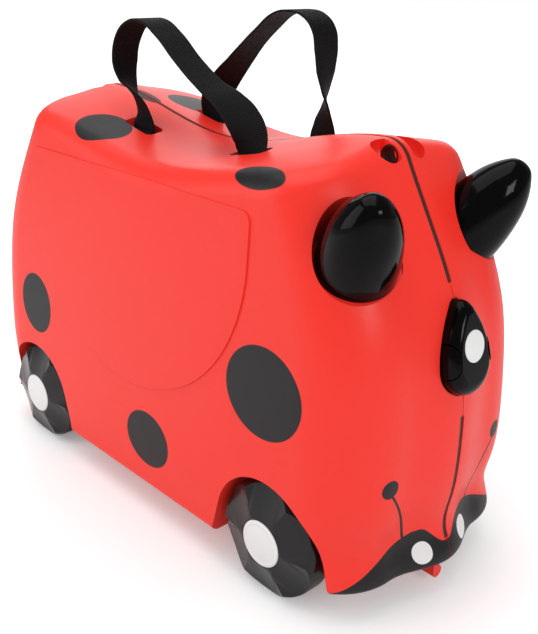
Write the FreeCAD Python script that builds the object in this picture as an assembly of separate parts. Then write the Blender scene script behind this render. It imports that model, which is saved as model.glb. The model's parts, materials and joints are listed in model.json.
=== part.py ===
"""Ride-on suitcase: two moulded half shells on four wheels, hinged along the bottom.

Millimetres. +X points to the front (the end with the horn grips), +Z up, and the origin lies
on the floor under the middle of the case. The right half is the -Y one.
"""
import FreeCAD, Part
import math
import os

V = FreeCAD.Vector

# Case: outer form
CASE_HALF_LENGTH = 229.5
CASE_HALF_WIDTH = 100.0
CASE_BOTTOM = 21.5
CASE_CORNER_RADIUS = 49.0
SHOULDER_HEIGHT = 310.5
SHOULDER_X = 158.0
SADDLE_DROP = 23.5
TOP_CROWN = 8.0
SHOULDER_CROWN = 9.0
TOP_ROUND = 20.0
SPINE_RISE = 3.5
SPINE_REACH = 40.0
END_RIDGE = 9.0
RIDGE_CREST = 1.6
RIDGE_SHOULDER = 0.3
RIDGE_FOOT = 0.45
TOP_GRID = 6
TOP_GRID_MARGIN = 30.0
# Rise above the bottom, setback of the ends, setback of the sides, share of the ridge along the seam
CASE_LEVELS = (
    (0.0, 18.0, 7.0, 1.2),
    (3.5, 11.2, 1.8, 1.4),
    (11.0, 8.2, 0.0, 1.5),
    (24.0, 12.5, 0.0, 1.3),
    (54.0, 9.5, 0.3, 1.0),
    (94.0, 7.0, 1.4, 1.0),
    (134.0, 9.0, 3.0, 1.0),
    (174.0, 14.5, 5.2, 0.8),
    (209.0, 26.6, 7.5, 0.62),
    (246.0, 45.8, 10.0, 0.48),
    (309.0, 77.0, 14.5, 0.39),
)
SOLE_HEIGHT = 14.0

# Case: walls and rim
CASE_WALL = 2.8
RIM_WIDTH = 6.0
RIM_DEPTH = 7.0
SEAM_GAP = 0.6

# Side panel, a raised D
PANEL_RISE = 1.1
PANEL_FRONT = 121.0
PANEL_REAR = -141.0
PANEL_TOP = 269.5
PANEL_WAIST = 235.5
PANEL_LOW = 109.0
PANEL_CORNER = 8.0

# Wheels
WHEEL_RADIUS = 43.5
WHEEL_WIDTH = 26.0
WHEEL_END_INSET = 81.3
WHEEL_PROUD = 1.8
WHEEL_SIDE_GAP = 1.0
WHEEL_RIM_WALL = 4.0
WHEEL_BACK_ROUND = 4.0
# Drop in radius and distance from the outer face of the tread's edge, its middle and its end
WHEEL_ROUND = ((0.0, 12.0), (2.6, 4.6), (10.0, 0.0))
WHEEL_WEB = 12.0
WHEEL_HUB_WALL = 2.0
HUB_STEP = 3.0
HUB_LAND = 0.5
WHEEL_RIBS = 6
WHEEL_RIB = 3.0
ARCH_GAP = 4.0
ARCH_FLARE = 15.0
HUB_CAP_RADIUS = 17.3
HUB_CAP_FLANGE = 2.6
HUB_CAP_DOME = 2.6
WHEEL_LOBE_DROP = 8.8
WHEEL_LOBE_RADIUS = 90.0
AXLE_RADIUS = 5.0
AXLE_HEAD_RADIUS = 8.5
AXLE_HEAD = 2.5
AXLE_GRIP = 15.0
AXLE_BOSS_RADIUS = 9.5
WASHER_RADIUS = 9.0

# Bottom hinge
HINGE_DROP = 10.0
KNUCKLE_RADIUS = 4.8
HINGE_PIN_RADIUS = 2.0
KNUCKLE_LENGTH = 18.0
KNUCKLE_END = 4.0
KNUCKLE_GAP = 0.4
KNUCKLE_BLIND = 3.0

# Horn grips
HORN_RADIUS = 26.5
HORN_LENGTH = 62.0
HORN_WALL = 3.0
HORN_POCKET_GAP = 2.5
HORN_SEAT_BACK = 51.0
HORN_SEAT_SIDE = 56.0
HORN_SEAT_HEIGHT = 242.0
HORN_AXIS = V(0.47, -0.33, 0.82)
HORN_BOSS_RADIUS = 6.0
HORN_BOSS_LENGTH = 30.0
HORN_SCREW_TIP = 26.0
HORN_STEPS = 4

# Carry handles
STRAP_WIDTH = 25.0
STRAP_THICKNESS = 2.0
STRAP_BAR_RADIUS = 2.2
STRAP_POCKET_X = 62.0
STRAP_POCKET_Y = 36.0
STRAP_POCKET_WIDTH = 16.0
STRAP_POCKET_ROUND = 0.6
STRAP_BAR_DEPTH = 6.5
STRAP_POCKET_DEPTH = 12.5
STRAP_END_GAP = 4.0
HANDLE_RISE = 88.0
STRAP_SECTIONS = 24
STRAP_TWIST_START = 0.04
STRAP_TWIST_END = 0.33
# Middle lines of the straps from the front bar: share of the bar's distance, share of the rise
RIGHT_ROUTE = (
    (1.0, 0.0),
    (1.0, 0.1),
    (0.98, 0.2),
    (0.87, 0.31),
    (0.64, 0.43),
    (0.28, 0.54),
    (-0.1, 0.7),
    (-0.45, 0.88),
    (-0.77, 0.98),
    (-1.06, 0.95),
    (-1.27, 0.82),
    (-1.36, 0.62),
    (-1.31, 0.44),
    (-1.17, 0.31),
    (-1.04, 0.2),
    (-1.0, 0.1),
    (-1.0, 0.0),
)
LEFT_ROUTE = (
    (1.0, 0.0),
    (1.01, 0.1),
    (1.02, 0.2),
    (1.03, 0.33),
    (1.02, 0.48),
    (1.01, 0.64),
    (1.0, 0.81),
    (0.95, 0.96),
    (0.79, 1.06),
    (0.55, 1.09),
    (0.3, 1.06),
    (0.0, 0.92),
    (-0.25, 0.78),
    (-0.48, 0.63),
    (-0.72, 0.47),
    (-0.89, 0.34),
    (-0.98, 0.21),
    (-1.0, 0.1),
    (-1.0, 0.0),
)

# Tow eyes
TOW_EYE_RADIUS = 5.5
TOW_EYE_BACK = 1.0
TOW_EYE_DROP = 10.5
TOW_EAR = 6.0
TOW_SCOOP_RADIUS = 11.0
TOW_SCOOP_AWAY = 0.55
TOW_SCOOP_FORWARD = 1.0
TOW_SCOOP_LIFT = 3.0

# Seam seals
SEAL_HALF_WIDTH = 1.7
SEAL_SINK = 0.7
SEAL_DEPTH = 4.2
SEAL_CLEARANCE = 0.3
UPPER_SEAL = (227.5, 325.5)
LOWER_SEAL = (43.5, 139.5)

# Catches
CATCH_HEIGHT = 186.8
CATCH_TILT = 12.95
CATCH_PAD_SETBACK = 10.0
CATCH_HALF_WIDTH = 20.0
CATCH_TIP_RADIUS = 6.0
CATCH_TIP_RISE = 25.0
CATCH_BASE_DROP = 12.0
CATCH_DEPTH = 14.5
CATCH_CLEARANCE = 0.8
CATCH_WALL = 2.7
CATCH_FACE = 4.2
# Share of the depth and share of the outline of the cover's pillow form
CATCH_PILLOW = ((0.0, 1.0), (0.42, 1.0), (0.7, 0.955), (0.9, 0.86), (1.0, 0.72))
CATCH_HOLLOW_BELOW = 13.0
CATCH_HOLLOW_ABOVE = 16.0
# Offset from the seam and height on the pad of the screws
CATCH_SCREW_SPOTS = ((6.0, 19.0), (6.0, -22.0))
BUTTON_TRAVEL = 1.0
BUTTON_GAP = 1.3
BUTTON_RADIUS = 19.0
BUTTON_OFFSET = 14.5
BUTTON_DROP = 4.0
DISC_RADIUS = 10.5
DISC_RECESS = 2.0
DISC_DOME = 1.2
DISC_RISE = 1.0
DISC_SHAFT_RADIUS = 3.0
SPRING_RADIUS = 1.6
SPRING_WIRE = 0.7
SPRING_REACH = 8.5
SPRING_DEPTH = 5.7
STEM_HALF = 3.0
STEM_LOW = 2.8
STEM_HIGH = 8.2
STEM_END_GAP = 1.6
PAWL_OUT = 9.5
PAWL_IN = 6.5
PAWL_HALF = 3.0
PAWL_REACH = 8.0
PAWL_SIDE_GAP = 1.0
PAWL_END_GAP = 1.5
PROUD_BUTTON = 0.5
BUTTON_LIFT = 3.4
CAM_HALF = 1.7
CAM_LENGTH = 9.5
CAM_THICKNESS = 1.6

# Packing strap inside the left half
PACK_STRAP_WIDTH = 25.0
PACK_STRAP_THICKNESS = 1.5
PACK_STRAP_HEIGHT = 121.5
PACK_STRAP_Y = 22.0
PACK_ANCHOR = 30.0
PACK_ANCHOR_THICKNESS = 5.0

# Screws and fits
SCREW_RADIUS = 2.0
SCREW_HEAD_RADIUS = 4.0
SCREW_HEAD = 2.4
RUNNING_FIT = 0.05
SEATED_FIT = 0.03
PART_GAP = 0.3

FAR = 600.0
OVERCUT = 1.0
QUARTER_ARC = 0.5522847

HINGE_Z = CASE_BOTTOM - HINGE_DROP
WHEEL_X = CASE_HALF_LENGTH - WHEEL_END_INSET
WHEEL_OUTER_Y = CASE_HALF_WIDTH + WHEEL_PROUD
WHEEL_INNER_Y = WHEEL_OUTER_Y - WHEEL_WIDTH
WELL_Y = WHEEL_INNER_Y - WHEEL_SIDE_GAP


def box(x0, x1, y0, y1, z0, z1):
    """Box between two corners."""
    return Part.makeBox(x1 - x0, y1 - y0, z1 - z0, V(x0, y0, z0))


def rod(radius, start, end):
    """Round bar from one point to another."""
    run = end - start
    return Part.makeCylinder(radius, run.Length, start, run)


def arc_edge(centre, radius, start, end, place):
    """Arc about a 2-D centre, angles in degrees, put in space by place(u, v)."""
    points = []
    for angle in (start, (start + end) / 2, end):
        turn = math.radians(angle)
        points.append(place(centre[0] + radius * math.cos(turn), centre[1] + radius * math.sin(turn)))
    return Part.Arc(*points).toShape()


def closed_face(edges):
    """Plane face inside edges that follow each other."""
    return Part.Face(Part.Wire(Part.__sortEdges__(edges)))


def mirrored(shape):
    """Copy of a right-hand piece for the left half."""
    return shape.mirror(V(0, 0, 0), V(0, 1, 0))


def reversed_end(shape):
    """Copy of a front piece for the rear end."""
    return shape.mirror(V(0, 0, 0), V(1, 0, 0))


def screw(head_point, tip_point):
    """Pan-head screw: head_point lies under the head."""
    run = tip_point - head_point
    run.normalize()
    head = rod(SCREW_HEAD_RADIUS, head_point - run * SCREW_HEAD, head_point)
    return head.fuse(rod(SCREW_RADIUS, head_point, tip_point)).removeSplitter()


def saddle_height(x):
    """Height of the seam along the top: a raised-cosine dip between two shoulders."""
    if abs(x) >= SHOULDER_X:
        return SHOULDER_HEIGHT
    return SHOULDER_HEIGHT - SADDLE_DROP * (1 + math.cos(math.pi * x / SHOULDER_X)) / 2


def top_fall(x, y):
    """How far the top falls from the seam at y: the spine's edge and a crown that grows to the shoulders."""
    share = min(abs(y) / SPINE_REACH, 1.0)
    spine = SPINE_RISE * (1 - math.cos(math.pi * share)) / 2
    climb = 1 - (SHOULDER_HEIGHT - saddle_height(x)) / SADDLE_DROP
    return spine + (TOP_CROWN + SHOULDER_CROWN * climb) * (y / CASE_HALF_WIDTH) ** 2


def above_top(inset):
    """Everything above the saddle-shaped top, lowered by inset."""
    steps = range(-TOP_GRID, TOP_GRID + 1)
    step_x = (CASE_HALF_LENGTH + TOP_GRID_MARGIN) / TOP_GRID
    step_y = (CASE_HALF_WIDTH + TOP_GRID_MARGIN) / TOP_GRID
    grid = []
    for i in steps:
        x = i * step_x
        across = [j * step_y for j in steps]
        grid.append([V(x, y, saddle_height(x) - top_fall(x, y) - inset) for y in across])
    surface = Part.BSplineSurface()
    surface.interpolate(grid)
    return surface.toShape().extrude(V(0, 0, SHOULDER_HEIGHT / 2))


def case_sides(inset):
    """Walls of the case as smooth patches through the level sections, set in by inset."""
    rises = [level[0] for level in CASE_LEVELS]
    ticks = [rise / rises[-1] for rise in rises]
    spots = []
    ridges = []
    for rise, end_setback, side_setback, ridge_share in CASE_LEVELS:
        lift = inset if rise < SOLE_HEIGHT else 0.0
        spots.append(V(CASE_HALF_LENGTH - end_setback - inset, CASE_HALF_WIDTH - side_setback - inset,
                       CASE_BOTTOM + rise + lift))
        ridges.append(V(END_RIDGE * ridge_share, 0, rise))
    profile = Part.BSplineCurve()
    profile.interpolate(Points=spots, Parameters=ticks)
    ridge = Part.BSplineCurve()
    ridge.interpolate(Points=ridges, Parameters=ticks)
    poles = profile.getPoles()
    ridge_rises = [pole.x for pole in ridge.getPoles()]
    radius = CASE_CORNER_RADIUS - inset
    bulge = QUARTER_ARC * radius

    def patch(rows, degree):
        columns = [[row[j] for row in rows] for j in range(degree + 1)]
        surface = Part.BSplineSurface()
        surface.buildFromPolesMultsKnots(columns, [degree + 1, degree + 1], profile.getMultiplicities(),
                                         [0.0, 1.0], profile.getKnots(), False, False, degree,
                                         profile.Degree)
        return surface.toShape()

    faces = []
    for sx, sy in ((1, 1), (-1, 1), (-1, -1), (1, -1)):
        rows = []
        for p in poles:
            rows.append([V(sx * p.x, sy * (p.y - radius), p.z),
                         V(sx * p.x, sy * (p.y - radius + bulge), p.z),
                         V(sx * (p.x - radius + bulge), sy * p.y, p.z),
                         V(sx * (p.x - radius), sy * p.y, p.z)])
        faces.append(patch(rows, 3))
    for sy in (1, -1):
        faces.append(patch([[V(p.x - radius, sy * p.y, p.z), V(radius - p.x, sy * p.y, p.z)]
                            for p in poles], 1))
    for sx in (1, -1):
        rows = []
        for p, rise in zip(poles, ridge_rises):
            reach = p.y - radius
            crest = p.x + RIDGE_CREST * rise
            across = [(p.x, -reach), (p.x, -RIDGE_FOOT * reach), (crest, -RIDGE_SHOULDER * reach)]
            across += [(x, -y) for x, y in reversed(across)]
            rows.append([V(sx * x, y, p.z) for x, y in across])
        faces.append(patch(rows, 5))
    return faces


def case_form(inset):
    """Whole case as one smooth solid, set in by inset on every side."""
    walls = case_sides(inset)
    levels = [vertex.Z for face in walls for vertex in face.Vertexes]
    caps = []
    for level in (min(levels), max(levels)):
        rim = [edge for face in walls for edge in face.Edges
               if all(abs(vertex.Z - level) < 0.001 for vertex in edge.Vertexes)]
        caps.append(closed_face(rim))
    shell = Part.makeShell(walls + caps)
    shell.sewShape(0.0001)
    block = Part.Solid(shell)
    if block.Volume < 0:
        block.reverse()
    block = block.cut(above_top(inset)).Solids[0]
    centres = [(face.CenterOfMass, face) for face in block.Faces]
    middle = [(spot.z, face) for spot, face in centres if abs(spot.x) + abs(spot.y) < SHOULDER_X / 4]
    top = max(middle, key=lambda item: item[0])[1]
    return block.makeFillet(TOP_ROUND - inset, top.Edges)


def right_side(shape, limit):
    """What lies further out than limit on the right half."""
    return shape.common(box(-FAR, FAR, -FAR, -limit, -FAR, FAR)).Solids[0]


def panel_prism():
    """D outline of the raised side panel, through the right wall."""
    middle = (PANEL_FRONT + PANEL_REAR) / 2

    def place(u, v):
        return V(u, -CASE_HALF_WIDTH / 2, v)

    bow = Part.Ellipse(place(PANEL_FRONT, PANEL_WAIST), place(middle, PANEL_LOW),
                       place(middle, PANEL_WAIST))
    c = PANEL_CORNER
    edges = [Part.ArcOfEllipse(bow, 0, math.pi).toShape(),
             Part.makeLine(place(PANEL_FRONT, PANEL_WAIST), place(PANEL_FRONT, PANEL_TOP - c)),
             arc_edge((PANEL_FRONT - c, PANEL_TOP - c), c, 0, 90, place),
             Part.makeLine(place(PANEL_FRONT - c, PANEL_TOP), place(PANEL_REAR + c, PANEL_TOP)),
             arc_edge((PANEL_REAR + c, PANEL_TOP - c), c, 90, 180, place),
             Part.makeLine(place(PANEL_REAR, PANEL_TOP - c), place(PANEL_REAR, PANEL_WAIST))]
    return closed_face(edges).extrude(V(0, -CASE_HALF_WIDTH, 0))


def arch_prism(growth, inner_y):
    """Wheel arch over the right front wheel: round on top and flared to the feet."""
    radius = WHEEL_RADIUS + ARCH_GAP + growth
    foot = WHEEL_RADIUS + CASE_BOTTOM
    flare = math.radians(ARCH_FLARE)

    def place(u, v):
        return V(WHEEL_X + u, -inner_y, WHEEL_RADIUS + v)

    spring_u = radius * math.cos(flare)
    spring_v = radius * math.sin(flare)
    foot_u = spring_u + (spring_v + foot) * math.tan(flare)
    edges = [arc_edge((0, 0), radius, ARCH_FLARE, 180 - ARCH_FLARE, place),
             Part.makeLine(place(-spring_u, spring_v), place(-foot_u, -foot)),
             Part.makeLine(place(-foot_u, -foot), place(foot_u, -foot)),
             Part.makeLine(place(foot_u, -foot), place(spring_u, spring_v))]
    return closed_face(edges).extrude(V(0, -CASE_HALF_WIDTH, 0))


def horn_frame():
    """Seat centre and axis of the right horn grip."""
    axis = V(HORN_AXIS)
    axis.normalize()
    return V(CASE_HALF_LENGTH - HORN_SEAT_BACK, -HORN_SEAT_SIDE, HORN_SEAT_HEIGHT), axis


def strap_bar_height():
    """Height of the bars that the handle straps turn on."""
    return saddle_height(STRAP_POCKET_X) - top_fall(STRAP_POCKET_X, STRAP_POCKET_Y) - STRAP_BAR_DEPTH


def strap_pocket(growth):
    """Pocket in the top for one end of the right handle strap, at the front."""
    half = STRAP_WIDTH / 2 + STRAP_END_GAP + growth
    wide = STRAP_POCKET_WIDTH / 2 + growth
    floor = strap_bar_height() + STRAP_BAR_DEPTH - STRAP_POCKET_DEPTH - growth
    pocket = box(STRAP_POCKET_X - half, STRAP_POCKET_X + half, -STRAP_POCKET_Y - wide,
                 -STRAP_POCKET_Y + wide, floor, SHOULDER_HEIGHT + growth)
    upright = [edge for edge in pocket.Edges if abs(edge.tangentAt(edge.FirstParameter).z) > 0.9]
    return pocket.makeFillet(wide * STRAP_POCKET_ROUND, upright)


def tow_eye_centre():
    """Middle of the front tow eye, on the seam."""
    return V(SHOULDER_X + TOW_EYE_BACK, 0, SHOULDER_HEIGHT - TOW_EYE_DROP)


def tow_scoop(growth):
    """Hollow beside the front tow eye, which leaves a thin ear at the seam."""
    centre = tow_eye_centre()
    away = TOW_EAR + TOW_SCOOP_RADIUS * TOW_SCOOP_AWAY
    middle = centre + V(TOW_SCOOP_FORWARD, -away, TOW_SCOOP_LIFT)
    ball = Part.makeSphere(TOW_SCOOP_RADIUS + growth, middle)
    return ball.common(box(-FAR, FAR, -FAR, growth - TOW_EAR, -FAR, FAR))


def catch_place(shape, front=True):
    """Move a piece from the catch's own frame, x outwards and z up the pad, to its end of the case."""
    placed = shape.copy()
    placed.rotate(V(0, 0, 0), V(0, 1, 0), -CATCH_TILT)
    placed.translate(V(CASE_HALF_LENGTH - CATCH_PAD_SETBACK, 0, CATCH_HEIGHT))
    return placed if front else reversed_end(placed)


def catch_outline(share, depth, growth=0.0):
    """Pointed oval of the catch, scaled by share about its middle, at a depth off the pad."""
    half = CATCH_HALF_WIDTH * share + growth
    tip = CATCH_TIP_RADIUS * share + growth
    tip_v = CATCH_TIP_RISE * share
    base_v = -CATCH_BASE_DROP * share
    span = tip_v - base_v
    side = (half ** 2 + span ** 2 - tip ** 2) / (2 * (half - tip))
    turn = math.degrees(math.atan2(span, side - half))

    def place(u, v):
        return V(depth, u, v)

    return Part.Wire([arc_edge((0, base_v), half, 180, 360, place),
                      arc_edge((half - side, base_v), side, 0, turn, place),
                      arc_edge((0, tip_v), tip, turn, 180 - turn, place),
                      arc_edge((side - half, base_v), side, 180 - turn, 180, place)])


def catch_solid(growth=0.0):
    """Pillow form of the catch cover."""
    wires = [catch_outline(share, (CATCH_DEPTH + growth) * depth, growth) for depth, share in CATCH_PILLOW]
    return Part.makeLoft(wires, True, False)


def catch_block(growth, low, high):
    """Straight prism over the catch's outline, between two depths."""
    return Part.Face(catch_outline(1.0, low, growth)).extrude(V(high - low, 0, 0))


def right_shell_blank(outer, skin, rim):
    """Right half shell without its hinge knuckles."""
    seam = SEAM_GAP / 2
    seat, axis = horn_frame()
    shell = right_side(outer, seam)
    shell = shell.fuse(right_side(case_form(-PANEL_RISE), seam).common(panel_prism()))
    cavity = right_side(skin, RIM_WIDTH).fuse(right_side(rim, -OVERCUT))

    arches = [arch_prism(CASE_WALL, WELL_Y - CASE_WALL), arch_prism(0.0, WELL_Y)]
    hub = V(WHEEL_X, -WELL_Y, WHEEL_RADIUS)
    boss = rod(AXLE_BOSS_RADIUS, hub, hub + V(0, AXLE_GRIP + CASE_WALL, 0))
    axle_hole = rod(AXLE_RADIUS + SEATED_FIT, hub, hub + V(0, AXLE_GRIP, 0))
    pad_guard = catch_place(catch_block(CATCH_CLEARANCE + CASE_WALL, -CASE_WALL, CATCH_DEPTH))
    pad = catch_place(catch_block(CATCH_CLEARANCE, 0.0, CATCH_DEPTH))
    eye = tow_eye_centre()
    eye_guard = Part.makeSphere(TOW_EYE_RADIUS + TOW_EYE_DROP, eye)
    eye_hole = rod(TOW_EYE_RADIUS, eye - V(0, TOW_SCOOP_RADIUS, 0), eye + V(0, TOW_SCOOP_RADIUS, 0))
    ends = (lambda shape: shape, reversed_end)
    for end in ends:
        for guard in (arches[0], boss, strap_pocket(CASE_WALL), tow_scoop(CASE_WALL), eye_guard, pad_guard):
            cavity = cavity.cut(end(guard))
    horn_guard = rod(HORN_RADIUS + HORN_POCKET_GAP + CASE_WALL, seat - axis * CASE_WALL, seat + axis * FAR)
    cavity = cavity.cut(horn_guard)
    shell = shell.cut(cavity)
    for end in ends:
        for tool in (arches[1], axle_hole, strap_pocket(0.0), tow_scoop(0.0), eye_hole, pad):
            shell = shell.cut(end(tool))
    shell = shell.cut(rod(HORN_RADIUS + HORN_POCKET_GAP, seat, seat + axis * FAR))
    shell = shell.cut(rod(SCREW_RADIUS + RUNNING_FIT, seat - axis * FAR / 10, seat + axis))
    return shell


def seal_band(form, low, high, half_width):
    """Strip of a solid along the front seam between two heights."""
    return form.common(box(SEAL_CLEARANCE, FAR, -half_width, half_width, low, high))


def seam_grooves(groove_floor):
    """Grooves for the seals along the front seam, as cutters."""
    half = SEAL_HALF_WIDTH + SEAL_CLEARANCE
    cutters = []
    for low, high in (UPPER_SEAL, LOWER_SEAL):
        slab = box(0, FAR, -half, half, low - SEAL_CLEARANCE, high + SEAL_CLEARANCE)
        cutters.append(slab.cut(groove_floor))
    return cutters


def knuckle_spans():
    """X spans of the front hinge's knuckles, from the outer end inwards."""
    start = CASE_HALF_LENGTH - KNUCKLE_END
    return [(start - (i + 1) * KNUCKLE_LENGTH + KNUCKLE_GAP, start - i * KNUCKLE_LENGTH) for i in range(3)]


def knuckle(span, blind):
    """Right-hand hinge knuckle on its leaf, bored for the pin; a blind one is closed at its outer end."""
    start, end = span
    barrel = rod(KNUCKLE_RADIUS, V(start, 0, HINGE_Z), V(end, 0, HINGE_Z))
    leaf = box(start, end, -KNUCKLE_RADIUS, -SEAM_GAP / 2, HINGE_Z, CASE_BOTTOM + CASE_WALL)
    stop = end - KNUCKLE_BLIND if blind else end + OVERCUT
    bore = rod(HINGE_PIN_RADIUS + RUNNING_FIT, V(start - OVERCUT, 0, HINGE_Z), V(stop, 0, HINGE_Z))
    return barrel.fuse(leaf).cut(bore)


def half_shells(outer, skin, rim):
    """Right and left half shells."""
    blank = right_shell_blank(outer, skin, rim)
    groove_floor = case_form(SEAL_DEPTH + SEAL_CLEARANCE)
    for groove in seam_grooves(groove_floor):
        blank = blank.cut(groove)
        blank = blank.cut(reversed_end(groove))
    spans = knuckle_spans()
    right = blank
    left = mirrored(blank)
    for i, span in enumerate(spans):
        piece = knuckle(span, i == 0)
        for end in (piece, reversed_end(piece)):
            if i % 2 == 0:
                right = right.fuse(end)
            else:
                left = left.fuse(mirrored(end))
    for spot in CATCH_SCREW_SPOTS:
        hole = catch_place(screw_room(spot))
        left = left.cut(hole)
        left = left.cut(reversed_end(hole))
    slot = catch_place(pawl_slot())
    right = right.cut(slot)
    right = right.cut(reversed_end(slot))
    return right.removeSplitter(), left.removeSplitter()


def hinge_pins():
    """Steel pins through the front and rear hinge knuckles."""
    spans = knuckle_spans()
    tip = V(spans[0][1] - KNUCKLE_BLIND - PART_GAP, 0, HINGE_Z)
    pin = rod(HINGE_PIN_RADIUS, V(spans[-1][0], 0, HINGE_Z), tip)
    return [pin, reversed_end(pin)]


def wheel():
    """Right front wheel: lobed outer face, recess for the cap and a ribbed hollow back."""
    r = WHEEL_RADIUS
    w = WHEEL_WIDTH
    cap = HUB_CAP_RADIUS + PART_GAP
    bore = AXLE_RADIUS + RUNNING_FIT
    back = r - WHEEL_BACK_ROUND

    def place(u, v):
        return V(u, -v, 0)

    shoulder = [place(r - drop, w - depth) for drop, depth in WHEEL_ROUND]
    hub = [place(cap, w), place(cap, w - HUB_CAP_FLANGE), place(cap - HUB_STEP, w - HUB_CAP_FLANGE),
           place(cap - HUB_STEP, hub_floor()), place(bore, hub_floor()), place(bore, 0), place(back, 0)]
    corners = [shoulder[-1]] + hub
    outline = [arc_edge((back, WHEEL_BACK_ROUND), WHEEL_BACK_ROUND, -90, 0, place),
               Part.makeLine(place(r, WHEEL_BACK_ROUND), shoulder[0]),
               Part.Arc(*shoulder).toShape()]
    outline += [Part.makeLine(start, end) for start, end in zip(corners, hub)]
    body = closed_face(outline).revolve(V(0, 0, 0), V(0, 1, 0), 360)
    pocket = rod(r - WHEEL_RIM_WALL, V(0, 0, 0), V(0, WHEEL_WEB - w, 0))
    pocket = pocket.cut(rod(AXLE_BOSS_RADIUS + WHEEL_HUB_WALL, V(0, 0, 0), V(0, -w, 0)))
    for i in range(WHEEL_RIBS):
        rib = box(0, r, -w, 0, -WHEEL_RIB / 2, WHEEL_RIB / 2)
        rib.rotate(V(0, 0, 0), V(0, 1, 0), 360.0 * i / WHEEL_RIBS)
        pocket = pocket.cut(rib)
    body = body.cut(pocket)
    fall = V(r - cap, WHEEL_LOBE_DROP, 0)
    lift = V(-fall.y, fall.x, 0)
    lift.normalize()
    edge = V(cap + HUB_LAND, -w, 0)
    for i in range(WHEEL_RIBS):
        middle = edge - lift * WHEEL_LOBE_RADIUS
        scoop = rod(WHEEL_LOBE_RADIUS, middle - fall * 3, middle + fall * 3)
        scoop.rotate(V(0, 0, 0), V(0, 1, 0), 360.0 * (i + 0.5) / WHEEL_RIBS)
        body = body.cut(scoop)
    body.translate(V(WHEEL_X, -WHEEL_INNER_Y, WHEEL_RADIUS))
    return body


def hub_floor():
    """Distance from the wheel's back to the floor of its hub recess."""
    return WHEEL_WIDTH - HUB_CAP_FLANGE - AXLE_HEAD - 2 * WHEEL_SIDE_GAP


def hub_cap():
    """Domed cap that snaps into the right front wheel."""
    cap = domed_disc(HUB_CAP_RADIUS, HUB_CAP_FLANGE, HUB_CAP_DOME)
    cap.rotate(V(0, 0, 0), V(1, 0, 0), 90)
    cap.translate(V(WHEEL_X, -WHEEL_OUTER_Y + HUB_CAP_FLANGE, WHEEL_RADIUS))
    return cap


def axle():
    """Headed axle stub of the right front wheel, pressed into the shell's boss."""
    hub = V(WHEEL_X, 0, WHEEL_RADIUS)
    inner = hub + V(0, -WELL_Y + AXLE_GRIP, 0)
    seat = hub + V(0, -WHEEL_INNER_Y - hub_floor() - PART_GAP, 0)
    shaft = rod(AXLE_RADIUS, inner, seat)
    head = rod(AXLE_HEAD_RADIUS, seat, seat + V(0, -AXLE_HEAD, 0))
    return shaft.fuse(head).removeSplitter()


def wheel_washers():
    """Washers between the right wheels and the shell."""
    hub = V(WHEEL_X, -WELL_Y, WHEEL_RADIUS)
    thick = V(0, -(WHEEL_SIDE_GAP - PART_GAP), 0)
    ring = rod(WASHER_RADIUS, hub, hub + thick).cut(rod(AXLE_RADIUS + RUNNING_FIT, hub, hub + thick))
    return [ring, reversed_end(ring)]


def horn():
    """Right horn grip: a hollow egg on its seat, with a screw boss."""
    seat, axis = horn_frame()

    def egg(radius, length):
        def place(u, v):
            return V(u, 0, v)

        bow = []
        for i in range(HORN_STEPS + 1):
            turn = math.pi / 2 * i / HORN_STEPS
            bow.append(place(radius * math.cos(turn), length * math.sin(turn)))
        curve = Part.BSplineCurve()
        curve.interpolate(Points=bow, InitialTangent=V(0, 0, 1), FinalTangent=V(-1, 0, 0))
        face = closed_face([curve.toShape(), Part.makeLine(bow[-1], place(0, 0)),
                            Part.makeLine(place(0, 0), bow[0])])
        return face.revolve(V(0, 0, 0), V(0, 0, 1), 360)

    body = egg(HORN_RADIUS, HORN_LENGTH)
    hollow = egg(HORN_RADIUS - HORN_WALL, HORN_LENGTH - HORN_WALL)
    boss = rod(HORN_BOSS_RADIUS, V(0, 0, 0), V(0, 0, HORN_LENGTH))
    body = body.cut(hollow.cut(boss))
    body = body.cut(rod(SCREW_RADIUS + RUNNING_FIT, V(0, 0, 0), V(0, 0, HORN_BOSS_LENGTH)))
    turn = FreeCAD.Rotation(V(0, 0, 1), axis)
    body.Placement = FreeCAD.Placement(seat, turn)
    return body


def horn_screw():
    """Screw that holds the right horn from inside the case."""
    seat, axis = horn_frame()
    return screw(seat - axis * CASE_WALL, seat + axis * HORN_SCREW_TIP)


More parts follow.
